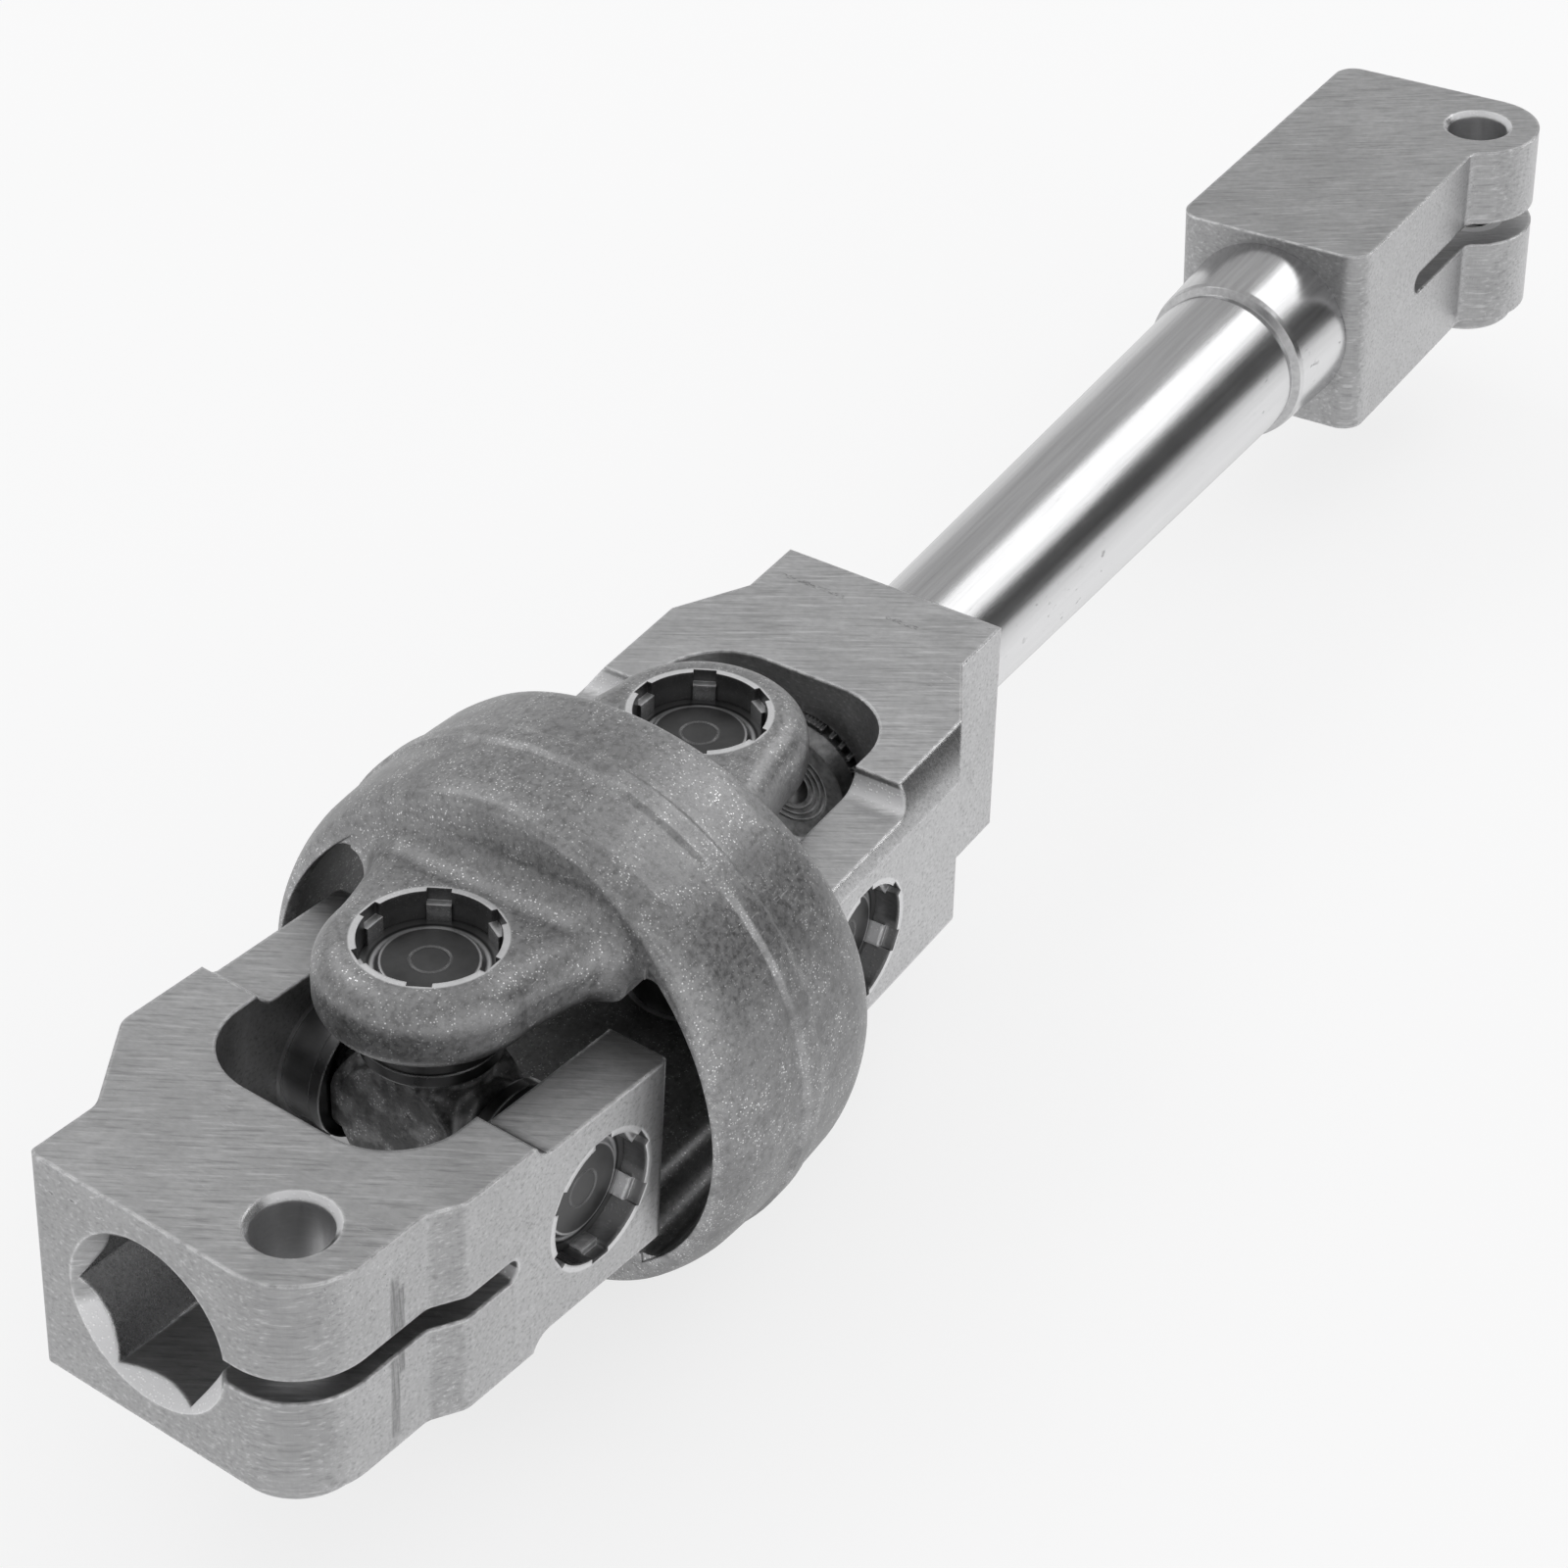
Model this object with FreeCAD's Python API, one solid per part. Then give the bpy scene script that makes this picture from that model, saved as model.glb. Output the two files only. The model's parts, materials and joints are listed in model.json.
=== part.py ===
import FreeCAD, Part
import math
import os

os.makedirs("parts", exist_ok=True)

# Intermediate steering shaft with a double universal joint at its lower end.
# Frame: origin at the mouth of the upper clamp's bore, +X along the shaft from
# the lower clamp to the upper one, +Z up along the upper yoke's flat faces.
# Sizes are millimetres and degrees.

# crosses, bearing cups, needles and seals
cup_radius = 7.5
cup_face = 20.0
cup_shoulder = 19.4
cup_rim_radius = 5.25
cup_rim_foot_radius = 5.8
cup_floor = 18.0
cup_inner_radius = 6.4
cup_mouth = 10.9
cup_mark_radius = 2.1
cup_mark_half_width = 0.14
cup_mark_depth = 0.12
needle_radius = 1.0
needle_gap = 0.025
needle_count = 16
needle_start = 11.2
needle_end = 17.6
trunnion_radius = cup_inner_radius - 2 * needle_radius - 2 * needle_gap
trunnion_end = cup_floor - 0.1
trunnion_chamfer = 0.5
shoulder_radius = 5.2
shoulder_end = 10.7
arm_half_width = 6.4
arm_end = 9.1
arm_corner_radius = 4.0
cross_half_thickness = 6.0
cross_edge_radius = 1.6
seal_inner_radius = shoulder_radius + 0.05
seal_outer_radius = 7.3
seal_start = 9.8
shell_outer_radius = 7.7
shell_inner_lip_radius = 5.7
shell_start = 9.4

# distance between the two crosses
cross_pitch = 48.8

# bends of the stored pose, from straight
upper_cross_turn = 2.35
centre_yoke_turn = -0.71
lower_cross_turn = -3.41
lower_yoke_turn = 1.76
block_roll = -3.1

# stakes that lock the cups in the ears
stake_count = 6
stake_half_width = 1.3
stake_notch_depth = 1.5
stake_outer_radius = 8.0
stake_tab_radius = 7.0

# ears that are shared by the two outer yokes
ear_end = 10.5
ear_half_height = 11.85
ear_step_radius = 2.8
ear_corner_radius = 0.8

# lower yoke
lower_half_height = 13.7
lower_front = 42.5
lower_left = 15.0
lower_flare_start = 33.3
lower_flare_end = 22.3
lower_fork_half_width = 22.5
lower_step_start = 24.8
lower_step_end = 21.0
lower_clamp_side = 20.5
lower_pocket_half_width = 14.8
lower_pocket_floor = 22.1
lower_ear_step = 10.8
pocket_corner_radius = 9.0
lower_slit_end = 13.2
lower_slit_half_height = 1.5
hex_corner_radius = 17.0 / math.sqrt(3.0)
hex_mouth_radius = 10.3

# pinch bolts
lobe_radius = 8.8
bolt_from_face = 8.6
lower_bolt_side = 11.6
upper_bolt_side = 11.2
bolt_clearance_radius = 4.2
bolt_chamfer_radius = 4.85
bolt_core_radius = 3.4
bolt_boss_radius = 7.0
bolt_boss_height = 2.7
bolt_boss_chamfer = 0.4

# upper yoke
upper_half_height = 14.75
upper_fork_half_width = 22.6
upper_turned_radius = 24.75
upper_rear_half_width = 14.7
upper_flare_start = 20.2
upper_flare_end = 34.0
upper_rear = 43.0
upper_pocket_half_width = 14.2
upper_pocket_floor = 22.6
upper_ear_step = 11.0

# centre yoke: its ring stands over the ear plates, and falls away at both sides
plate_inner = 15.0
plate_outer = 23.0
ring_over_plate = 8.7
ring_radius = plate_outer + ring_over_plate
ring_front_face = -14.8
ring_rear_face = 14.0
ring_shoulder_start = 9.0
ring_shoulder_drop = 0.3
ring_shoulder_middle = 12.2
ring_shoulder_middle_drop = 1.2
ring_shoulder_end = 15.0
ring_shoulder_end_drop = 2.7
ring_face_bow = 3.6
ring_rim_rounding = 1.5
ring_wall = 3.7
ring_inner_radius = ring_radius - ring_wall
ring_mouth_chamfer = 0.7
ring_mouth_radius = ring_inner_radius + ring_mouth_chamfer
ring_mouth_depth = 1.6
ring_crease = -0.3
ring_crease_height = 0.4
ring_crease_half_width = 1.9
ring_crease_flat_half_width = 1.2
plate_half_width = 17.0
plate_tip_radius = 12.2
plate_top_radius = 3.6
plate_bottom_radius = 2.0
plate_waist = 12.0
web_corner_radius = 2.4
ear_root_radius = 3.6

# shaft
shaft_seat_radius = 9.2
shaft_root_radius = 8.95
shaft_teeth = 110
shaft_stub_end = 19.9
shaft_knurl_start = 21.6
shaft_knurl_end = 27.0
stub_face_radius = 7.4
stub_step_radius = 8.3
stub_mark_radii = (3.3, 4.1, 4.9)
stub_mark_half_width = 0.18
stub_mark_depth = 0.14
stub_stake_angles = (15, 25, 35, 45, 55, 65)
stub_stake_half_width = 0.45
stub_stake_length = 1.9
stub_stake_depth = 1.0
shaft_lower_radius = 9.05
shaft_upper_radius = 10.7
shaft_taper_end = 130.8
shaft_collar_start = 132.4
shaft_collar_radius = 11.7
shaft_collar_end_radius = 12.3
spigot_radius = 8.0
spigot_length = 12.0
centre_drill_radius = 2.6
centre_drill_depth = 3.4

# upper clamp block
block_near = 145.0
block_far = 198.6
block_half_width = 14.2
block_half_height = 13.65
block_corner_radius = 3.0
block_bore_radius = 9.0
block_bore_depth = 36.0
block_slit_end = 163.5
block_slit_half_height = 1.7
block_slit_centre = 0.6
block_valley_radius = 2.0

V = FreeCAD.Vector
X_AXIS = V(1, 0, 0)
Y_AXIS = V(0, 1, 0)
Z_AXIS = V(0, 0, 1)
ORIGIN = V(0, 0, 0)


def turn(axis, angle):
    return FreeCAD.Placement(ORIGIN, FreeCAD.Rotation(axis, angle))


def shift(x, y=0.0, z=0.0):
    return FreeCAD.Placement(V(x, y, z), FreeCAD.Rotation())


# frames of the pieces in the stored pose
upper_frame = shift(-block_far)
block_frame = upper_frame.multiply(turn(X_AXIS, block_roll))
upper_cross_frame = upper_frame.multiply(turn(Y_AXIS, upper_cross_turn))
centre_frame = upper_cross_frame.multiply(turn(Z_AXIS, centre_yoke_turn))
lower_joint_frame = centre_frame.multiply(shift(-cross_pitch))
lower_cross_frame = lower_joint_frame.multiply(turn(Z_AXIS, lower_cross_turn))
lower_frame = lower_cross_frame.multiply(turn(Y_AXIS, lower_yoke_turn))

# directions of a bearing in its cross: the bearing is built along +Z
BEARING_UP = FreeCAD.Rotation()
BEARING_DOWN = FreeCAD.Rotation(X_AXIS, 180)
BEARING_LEFT = FreeCAD.Rotation(X_AXIS, -90)
BEARING_RIGHT = FreeCAD.Rotation(X_AXIS, 90)


def box(x0, x1, y0, y1, z0, z1):
    return Part.makeBox(x1 - x0, y1 - y0, z1 - z0, V(x0, y0, z0))


def rod(radius, start, end, axis, centre=ORIGIN):
    return Part.makeCylinder(radius, end - start, centre + axis * start, axis)


def prism(points, z0, z1):
    corners = [V(x, y, z0) for x, y in points]
    corners.append(corners[0])
    return Part.Face(Part.makePolygon(corners)).extrude(V(0, 0, z1 - z0))


def line_edge(a, b):
    return Part.LineSegment(a, b).toShape()


def arc_edge(a, middle, b):
    return Part.Arc(a, middle, b).toShape()


def spline_edge(points):
    curve = Part.BSplineCurve()
    curve.interpolate(points)
    return curve.toShape()


def lathe(points, axis_point, axis):
    wire = Part.makePolygon(points + [points[0]])
    return Part.Face(wire).revolve(axis_point, axis, 360)


def lathe_about_x(pairs):
    return lathe([V(x, 0, r) for x, r in pairs], ORIGIN, X_AXIS)


def lathe_about_z(pairs):
    return lathe([V(r, 0, z) for r, z in pairs], ORIGIN, Z_AXIS)


def is_upright(edge):
    if len(edge.Vertexes) != 2:
        return False
    a = edge.Vertexes[0].Point
    b = edge.Vertexes[1].Point
    return abs(a.x - b.x) < 1e-6 and abs(a.y - b.y) < 1e-6 and abs(a.z - b.z) > 1e-3


def round_upright(shape, spots):
    # rounds the vertical edges that stand at the listed (x, y) spots
    for radius in sorted({spot[2] for spot in spots}):
        edges = []
        for edge in shape.Edges:
            if not is_upright(edge):
                continue
            at = edge.Vertexes[0].Point
            for x, y, size in spots:
                if size == radius and math.hypot(at.x - x, at.y - y) < 0.05:
                    edges.append(edge)
        shape = shape.makeFillet(radius, edges)
    return shape


def save(shape, name, frame):
    placed = shape.copy()
    placed.Placement = frame.multiply(placed.Placement)
    placed.exportStep("parts/" + name + ".step")


def turned(shape, rotation):
    copy = shape.copy()
    copy.Placement = FreeCAD.Placement(ORIGIN, rotation).multiply(copy.Placement)
    return copy


def make_cup():
    return lathe_about_z([
        (0.0, cup_floor),
        (cup_inner_radius, cup_floor),
        (cup_inner_radius, cup_mouth),
        (cup_radius, cup_mouth),
        (cup_radius, cup_shoulder),
        (cup_rim_foot_radius, cup_shoulder),
        (cup_rim_radius, cup_face),
        (cup_mark_radius + cup_mark_half_width, cup_face),
        (cup_mark_radius, cup_face - cup_mark_depth),
        (cup_mark_radius - cup_mark_half_width, cup_face),
        (0.0, cup_face),
    ])


def make_needles():
    pitch_radius = trunnion_radius + needle_gap + needle_radius
    needles = []
    for index in range(needle_count):
        angle = 2 * math.pi * index / needle_count
        centre = V(pitch_radius * math.cos(angle), pitch_radius * math.sin(angle), 0)
        needles.append(rod(needle_radius, needle_start, needle_end, Z_AXIS, centre))
    return Part.makeCompound(needles)


def make_seal():
    return lathe_about_z([
        (seal_inner_radius, seal_start),
        (seal_outer_radius, seal_start),
        (seal_outer_radius, cup_mouth),
        (seal_inner_radius, cup_mouth - 0.5),
    ])


def make_shell():
    return lathe_about_z([
        (shell_inner_lip_radius, shell_start),
        (shell_outer_radius, shell_start),
        (shell_outer_radius, cup_mouth),
        (seal_outer_radius, cup_mouth),
        (seal_outer_radius, seal_start),
        (shell_inner_lip_radius, seal_start),
    ])


def make_trunnion():
    return lathe_about_z([
        (0.0, 0.0),
        (shoulder_radius, 0.0),
        (shoulder_radius, shoulder_end),
        (trunnion_radius, shoulder_end),
        (trunnion_radius, trunnion_end - trunnion_chamfer),
        (trunnion_radius - trunnion_chamfer, trunnion_end),
        (0.0, trunnion_end),
    ])


def make_cross():
    # plus-shaped forging with rounded inner corners, drawn in the XY plane
    # and stood up so that its arms lie along Y and Z
    a = arm_half_width
    b = arm_end
    points = [
        (b, -a), (b, a), (a, a), (a, b), (-a, b), (-a, a),
        (-b, a), (-b, -a), (-a, -a), (-a, -b), (a, -b), (a, -a),
    ]
    body = prism(points, -cross_half_thickness, cross_half_thickness)
    inner = [(a, a, 2.0), (-a, a, 2.0), (-a, -a, 2.0), (a, -a, 2.0)]
    body = round_upright(body, inner)
    body = body.common(rod(b + 0.6, -20, 20, Z_AXIS))
    stood = turned(body, FreeCAD.Rotation(Y_AXIS, 90))
    barrel = rod(arm_half_width, -arm_end, arm_end, Y_AXIS)
    barrel = barrel.fuse(rod(arm_half_width, -arm_end, arm_end, Z_AXIS))
    cross = stood.common(barrel.fuse(rod(8.2, -cross_half_thickness, cross_half_thickness, X_AXIS)))
    for rotation in (BEARING_UP, BEARING_DOWN, BEARING_LEFT, BEARING_RIGHT):
        cross = cross.fuse(turned(make_trunnion(), rotation))
    return cross.removeSplitter()


def stake_cutters(face):
    # the chisel marks at the bore's edge, all six in one shape
    notches = []
    for index in range(stake_count):
        angle = 360.0 / stake_count * (index + 0.5)
        notch = box(
            stake_tab_radius - 0.6, stake_outer_radius,
            -stake_half_width, stake_half_width,
            face - stake_notch_depth, face + 1.0,
        )
        notches.append(turned(notch, FreeCAD.Rotation(Z_AXIS, angle)))
    return Part.makeCompound(notches)


def stake_tabs(face):
    # the metal that each chisel mark pushes over the cup's shoulder
    tabs = []
    for index in range(stake_count):
        angle = 360.0 / stake_count * (index + 0.5)
        tab = box(
            stake_tab_radius, cup_radius + 0.3,
            -stake_half_width, stake_half_width,
            cup_shoulder, face - stake_notch_depth,
        )
        tabs.append(turned(tab, FreeCAD.Rotation(Z_AXIS, angle)))
    return tabs


def bore_ears(body, rotations, face, centre):
    # bores the bearing holes and stakes their edges
    place = FreeCAD.Placement(centre, FreeCAD.Rotation())
    for rotation in rotations:
        hole = turned(rod(cup_radius, 0, face + 12, Z_AXIS), rotation)
        hole.Placement = place.multiply(hole.Placement)
        body = body.cut(hole)
        notches = turned(stake_cutters(face), rotation)
        notches.Placement = place.multiply(notches.Placement)
        body = body.cut(notches)
        tabs = []
        for tab in stake_tabs(face):
            tab = turned(tab, rotation)
            tab.Placement = place.multiply(tab.Placement)
            tabs.append(tab)
        body = body.fuse(tabs)
    return body


def lower_ears(body, step_x, side, top):
    # the ear faces lie lower than the clamp's, with a milled radius between
    for up in (1, -1):
        cutter = box(0, 60, -40, 40, ear_half_height, ear_half_height + 20)
        foot = []
        for edge in cutter.Edges:
            middle = edge.CenterOfMass
            if abs(middle.x) < 1e-6 and abs(middle.z - ear_half_height) < 1e-6:
                foot.append(edge)
        cutter = cutter.makeFillet(ear_step_radius, foot)
        if side < 0:
            cutter = cutter.mirror(ORIGIN, X_AXIS)
        cutter.translate(V(step_x, 0, 0))
        if up < 0:
            cutter = cutter.mirror(ORIGIN, Z_AXIS)
        body = body.cut(cutter)
    return body


def add_pinch_bolt(body, x, y, half_height, split):
    # clearance hole above the slit, tapped core below, round boss underneath
    centre = V(x, y, 0)
    boss = rod(bolt_boss_radius, -half_height - bolt_boss_height, -half_height + 1, Z_AXIS, centre)
    rim = [e for e in boss.Edges if abs(e.CenterOfMass.z + half_height + bolt_boss_height) < 1e-6]
    body = body.fuse(boss.makeChamfer(bolt_boss_chamfer, rim))
    body = body.cut(rod(bolt_clearance_radius, split, half_height + 1, Z_AXIS, centre))
    body = body.cut(rod(bolt_core_radius, -half_height - bolt_boss_height - 1, split, Z_AXIS, centre))
    depth = bolt_chamfer_radius - bolt_clearance_radius
    cone = Part.makeCone(
        bolt_clearance_radius, bolt_chamfer_radius, depth, V(x, y, half_height - depth), Z_AXIS
    )
    return body.cut(cone)


def cut_slit(body, open_x, end_x, centre_z, half_height):
    # saw cut from the clamp's face to a rounded end, open to the right side
    inward = 1.0 if end_x > open_x else -1.0
    round_x = end_x - inward * half_height
    low = min(open_x - inward * 2, round_x)
    high = max(open_x - inward * 2, round_x)
    slot = box(low, high, -40, 0, centre_z - half_height, centre_z + half_height)
    end = rod(half_height, 0, 40, V(0, -1, 0), V(round_x, 0, centre_z))
    return body.cut(slot).cut(end)


def make_lower_yoke():
    h = lower_half_height
    w = lower_fork_half_width
    body = prism([
        (-lower_front, lower_left),
        (-lower_flare_start, lower_left),
        (-lower_flare_end, w),
        (ear_end, w),
        (ear_end, -w),
        (-lower_step_end, -w),
        (-lower_step_start, -lower_clamp_side),
        (-lower_front, -lower_clamp_side),
    ], -h, h)
    body = round_upright(body, [
        (-lower_front, lower_left, ear_corner_radius),
        (ear_end, w, ear_corner_radius),
        (ear_end, -w, ear_corner_radius),
        (-lower_flare_start, lower_left, 3.0),
        (-lower_flare_end, w, 3.0),
        (-lower_step_end, -w, 2.5),
        (-lower_step_start, -lower_clamp_side, 2.5),
        (-lower_front, -lower_clamp_side, lobe_radius),
    ])
    p = lower_pocket_half_width
    pocket = box(-lower_pocket_floor, ear_end + 5, -p, p, -h - 1, h + 1)
    pocket = round_upright(pocket, [
        (-lower_pocket_floor, p, pocket_corner_radius),
        (-lower_pocket_floor, -p, pocket_corner_radius),
    ])
    body = body.cut(pocket)
    body = lower_ears(body, -lower_ear_step, 1, h)
    corners = []
    for index in range(7):
        angle = math.radians(60 * index)
        corners.append(V(
            -lower_front - 1,
            hex_corner_radius * math.cos(angle),
            hex_corner_radius * math.sin(angle),
        ))
    hexagon = Part.Face(Part.makePolygon(corners))
    body = body.cut(hexagon.extrude(V(lower_front - lower_pocket_floor + 5, 0, 0)))
    body = body.cut(Part.makeCone(hex_mouth_radius, 0.0, hex_mouth_radius, V(-lower_front, 0, 0), X_AXIS))
    body = add_pinch_bolt(body, -lower_front + bolt_from_face, -lower_bolt_side, h, 0.0)
    body = cut_slit(body, -lower_front, -lower_slit_end, 0.0, lower_slit_half_height)
    body = bore_ears(body, (BEARING_LEFT, BEARING_RIGHT), w, ORIGIN)
    return body.removeSplitter()


def make_upper_yoke():
    h = upper_half_height
    w = upper_fork_half_width
    r = upper_rear_half_width
    body = prism([
        (-ear_end, w),
        (upper_flare_start, w),
        (upper_flare_end, r),
        (upper_rear, r),
        (upper_rear, -r),
        (upper_flare_end, -r),
        (upper_flare_start, -w),
        (-ear_end, -w),
    ], -h, h)
    body = round_upright(body, [
        (-ear_end, w, ear_corner_radius),
        (-ear_end, -w, ear_corner_radius),
    ])
    body = body.common(rod(upper_turned_radius, -20, 60, X_AXIS))
    p = upper_pocket_half_width
    pocket = box(-ear_end - 5, upper_pocket_floor, -p, p, -h - 1, h + 1)
    pocket = round_upright(pocket, [
        (upper_pocket_floor, p, pocket_corner_radius),
        (upper_pocket_floor, -p, pocket_corner_radius),
    ])
    body = body.cut(pocket)
    body = lower_ears(body, upper_ear_step, -1, h)
    body = body.cut(rod(shaft_seat_radius, 0, upper_rear + 1, X_AXIS))
    body = bore_ears(body, (BEARING_LEFT, BEARING_RIGHT), w, ORIGIN)
    return body.removeSplitter()


def ring_blank():
    # solid disc of the ring: barrel outside with a trimmed parting band and
    # falling shoulders, and both faces bowed back towards the top and bottom
    flat = ring_shoulder_start
    drop = ring_shoulder_drop / (flat * flat)

    def barrel(x):
        return V(x, 0, ring_radius - drop * x * x)

    low = barrel(ring_crease - ring_crease_half_width)
    high = barrel(ring_crease + ring_crease_half_width)
    crest = ring_radius + ring_crease_height
    crest_low = V(ring_crease - ring_crease_flat_half_width, 0, crest)
    crest_high = V(ring_crease + ring_crease_flat_half_width, 0, crest)
    edges = [
        arc_edge(barrel(-flat), barrel((low.x - flat) / 2), low),
        line_edge(low, crest_low),
        line_edge(crest_low, crest_high),
        line_edge(crest_high, high),
        arc_edge(high, barrel((high.x + flat) / 2), barrel(flat)),
    ]
    for side in (-1, 1):
        shoulder = V(side * ring_shoulder_middle, 0, ring_radius - ring_shoulder_middle_drop)
        nose = V(side * ring_shoulder_end, 0, ring_radius - ring_shoulder_end_drop)
        past = nose + (nose - shoulder)
        edges.append(arc_edge(barrel(side * flat), shoulder, nose))
        edges.append(line_edge(nose, past))
        edges.append(line_edge(past, V(past.x, 0, 0)))
    edges.append(line_edge(V(-past.x, 0, 0), V(past.x, 0, 0)))
    outline = Part.Wire(Part.__sortEdges__(edges))
    disc = Part.Face(outline).revolve(ORIGIN, X_AXIS, 360)
    for side, face in ((-1, ring_front_face), (1, ring_rear_face)):
        disc = disc.common(face_drum(side, face))
    rims = []
    for edge in disc.Edges:
        if on_face(edge) and edge.BoundBox.YLength > 30:
            rims.append(edge)
    return disc.makeFillet(ring_rim_rounding, rims)


def face_bow_radius():
    reach = ring_radius
    return (reach * reach + ring_face_bow * ring_face_bow) / (2 * ring_face_bow)


def face_drum(side, face):
    # large drum about Y whose surface is one bowed face of the ring
    bow = face_bow_radius()
    return rod(bow, -50, 50, Y_AXIS, V(face - side * bow, 0, 0))


def on_face(edge):
    # true for an edge that lies in one of the ring's two bowed faces
    bow = face_bow_radius()
    for side, face in ((-1, ring_front_face), (1, ring_rear_face)):
        centre_x = face - side * bow
        far = 0.0
        for share in (0.1, 0.5, 0.9):
            first, last = edge.ParameterRange
            point = edge.valueAt(first + (last - first) * share)
            far = max(far, abs(math.hypot(point.x - centre_x, point.z) - bow))
        if far < 0.01:
            return True
    return False


def ring_void():
    # opening through the ring: round, with the two ear plates standing in it
    r = ring_inner_radius
    w = plate_half_width
    tube = rod(r, -ring_shoulder_end - 8, ring_shoulder_end + 8, X_AXIS)
    keep = box(-40, 40, -w, w, plate_inner, 40)
    keep = keep.fuse(box(-40, 40, -w, w, -40, -plate_inner))
    void = tube.cut(keep)
    meets = math.sqrt(r * r - w * w)
    edges = []
    for edge in void.Edges:
        middle = edge.CenterOfMass
        if abs(middle.x) < 1e-3 and abs(abs(middle.y) - w) < 1e-3 and abs(abs(middle.z) - meets) < 1e-3:
            edges.append(edge)
    void = void.makeFillet(web_corner_radius, edges)
    edges = []
    for edge in void.Edges:
        middle = edge.CenterOfMass
        if abs(middle.x) < 1e-3 and abs(abs(middle.y) - w) < 1e-3 and abs(abs(middle.z) - plate_inner) < 1e-3:
            edges.append(edge)
    return void.makeFillet(plate_bottom_radius, edges)


def ear_plate():
    # one forked plate of the centre yoke, from a far ear to a near ear
    half = cross_pitch / 2
    tip = plate_tip_radius
    wide = plate_half_width
    flare = [(half, tip), (half - 4.3, tip + 0.9), (half - 9.2, tip + 2.7), (plate_waist, wide)]
    edges = []
    for side in (1, -1):
        far = [V(x, side * y, plate_inner) for x, y in flare]
        near = [V(-x, side * y, plate_inner) for x, y in flare]
        edges.append(spline_edge(near))
        edges.append(line_edge(near[-1], far[-1]))
        edges.append(spline_edge(far))
    for side in (1, -1):
        left = V(side * half, tip, plate_inner)
        middle = V(side * (half + tip), 0, plate_inner)
        right = V(side * half, -tip, plate_inner)
        edges.append(arc_edge(left, middle, right))
    outline = Part.Wire(Part.__sortEdges__(edges))
    plate = Part.Face(outline).extrude(V(0, 0, plate_outer - plate_inner))
    flat = [edge for edge in plate.Edges if edge.BoundBox.ZLength < 1e-6]
    middle = (plate_inner + plate_outer) / 2
    upper = [edge for edge in flat if edge.CenterOfMass.z > middle]
    plate = plate.makeFillet(plate_top_radius, upper)
    flat = [edge for edge in plate.Edges if edge.BoundBox.ZLength < 1e-6]
    lower = [edge for edge in flat if abs(edge.CenterOfMass.z - plate_inner) < 1e-3]
    return plate.makeFillet(plate_bottom_radius, lower)


def make_centre_yoke():
    half = cross_pitch / 2
    body = ring_blank()
    plate = ear_plate()
    body = body.fuse([plate, plate.mirror(ORIGIN, Z_AXIS)])
    roots = [e for e in body.Edges if on_face(e) and e.BoundBox.YLength < 40 and abs(e.CenterOfMass.z) > 10]
    body = body.makeFillet(ear_root_radius, roots)
    body = body.cut(ring_void())
    for side, face in ((-1, ring_front_face), (1, ring_rear_face)):
        cone = Part.makeCone(
            ring_mouth_radius, ring_inner_radius, ring_mouth_depth, V(face, 0, 0), V(-side, 0, 0)
        )
        cone = cone.cut(box(-40, 40, -plate_half_width - 2, plate_half_width + 2, -40, 40))
        body = body.cut(cone)
    for x in (-half, half):
        body = bore_ears(body, (BEARING_UP, BEARING_DOWN), plate_outer, V(x, 0, 0))
    body.translate(V(-half, 0, 0))
    return body.removeSplitter()


def knurled_stub():
    # the shaft's end in the upper yoke: a knurled seat, a step round the end
    # face, turning marks, a centre drilling and two rows of chisel stakes
    corners = []
    for index in range(2 * shaft_teeth + 1):
        angle = math.pi * index / shaft_teeth
        radius = shaft_seat_radius if index % 2 == 0 else shaft_root_radius
        corners.append(V(shaft_knurl_start, radius * math.cos(angle), radius * math.sin(angle)))
    stub = Part.Face(Part.makePolygon(corners)).extrude(V(shaft_knurl_end - shaft_knurl_start, 0, 0))
    for row in (0, 180):
        for angle in stub_stake_angles:
            stake = box(
                shaft_knurl_start - 1, shaft_knurl_start + stub_stake_length,
                -stub_stake_half_width, stub_stake_half_width,
                shaft_seat_radius - stub_stake_depth, shaft_seat_radius + 1,
            )
            stub = stub.cut(turned(stake, FreeCAD.Rotation(X_AXIS, 90 - angle + row)))
    profile = [
        (shaft_knurl_start + 1, 0.0),
        (shaft_stub_end, 0.0),
    ]
    for radius in stub_mark_radii:
        profile.append((shaft_stub_end, radius - stub_mark_half_width))
        profile.append((shaft_stub_end + stub_mark_depth, radius))
        profile.append((shaft_stub_end, radius + stub_mark_half_width))
    profile.append((shaft_stub_end, stub_face_radius))
    profile.append((shaft_knurl_start, stub_step_radius))
    profile.append((shaft_knurl_start + 1, stub_step_radius))
    stub = stub.fuse(lathe_about_x(profile))
    drill = Part.makeCone(centre_drill_radius, 0.0, centre_drill_depth, V(shaft_stub_end, 0, 0), X_AXIS)
    return stub.cut(drill)


def make_shaft():
    core = lathe_about_x([
        (shaft_knurl_end - 1.0, 0.0),
        (shaft_knurl_end - 1.0, shaft_seat_radius),
        (upper_rear, shaft_seat_radius),
        (upper_rear, shaft_lower_radius),
        (shaft_taper_end, shaft_upper_radius),
        (shaft_taper_end + 0.5, shaft_upper_radius - 0.25),
        (shaft_collar_start - 0.4, shaft_upper_radius - 0.25),
        (shaft_collar_start, shaft_collar_radius - 0.2),
        (shaft_collar_start + 0.8, shaft_collar_radius),
        (block_near, shaft_collar_end_radius),
        (block_near, spigot_radius),
        (block_near + spigot_length, spigot_radius),
        (block_near + spigot_length, 0.0),
    ])
    return core.fuse(knurled_stub()).removeSplitter()


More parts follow.
